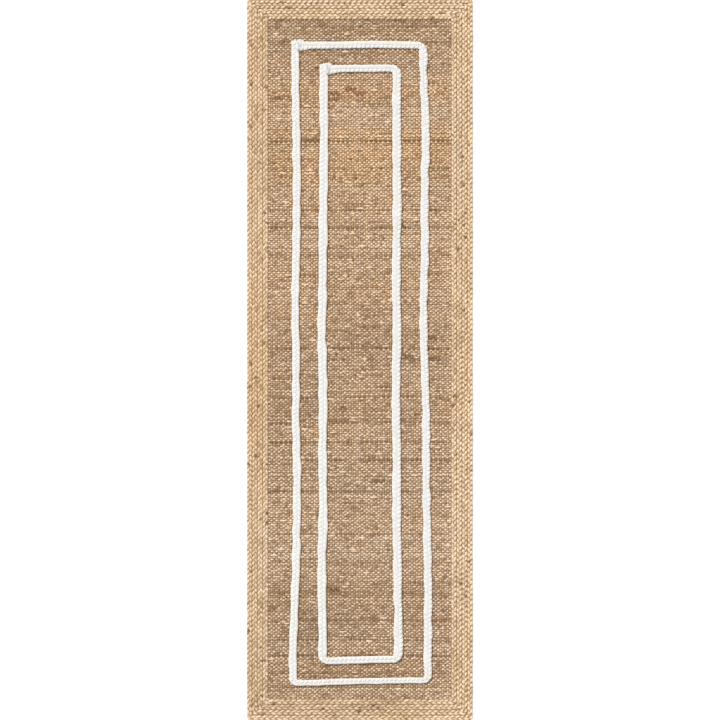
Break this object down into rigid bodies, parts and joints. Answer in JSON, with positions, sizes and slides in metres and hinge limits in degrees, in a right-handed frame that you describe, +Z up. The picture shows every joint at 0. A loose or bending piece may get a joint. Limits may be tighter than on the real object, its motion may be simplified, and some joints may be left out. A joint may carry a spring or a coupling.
{
  "type": "runner_rug",
  "caption": "Flat runner rug: a plain-woven jute panel framed by sewn rows of three-strand jute braid, with lengths of white braid sewn on top as two nested rectangles.",
  "frame": {"origin": "the middle of the underside, on the floor", "axes": "+X across the width, +Y along the length, +Z up"},
  "size_m": [0.762, 2.438, 0.012],
  "materials": {
    "panel_jute": "plain-woven natural jute, matte, banded lighter and darker along its length",
    "border_jute": "combed natural jute in flat three-strand braid, with a faint fibre sheen",
    "white_braid": "soft bleached cotton braid, matte",
    "jute_thread": "twisted tan sewing thread, matte",
    "white_thread": "twisted off-white sewing thread, matte"
  },
  "bodies": {
    "root": {"woven_panel": "panel_jute", "border_braid_row_1": "border_jute", "border_braid_row_2": "border_jute", "border_braid_row_3": "border_jute", "border_braid_row_4": "border_jute", "border_seam_1_needle_thread": "jute_thread", "border_seam_1_bobbin_thread": "jute_thread", "border_seam_2_needle_thread": "jute_thread", "border_seam_2_bobbin_thread": "jute_thread", "border_seam_3_needle_thread": "jute_thread", "border_seam_3_bobbin_thread": "jute_thread", "border_seam_4_needle_thread": "jute_thread", "border_seam_4_bobbin_thread": "jute_thread", "outer_line_braid": "white_braid", "outer_line_needle_thread": "white_thread", "outer_line_bobbin_thread": "white_thread", "outer_line_end_stitches": "white_thread", "inner_line_braid": "white_braid", "inner_line_needle_thread": "white_thread", "inner_line_bobbin_thread": "white_thread", "inner_line_end_stitches": "white_thread"}
  },
  "joints": []
}
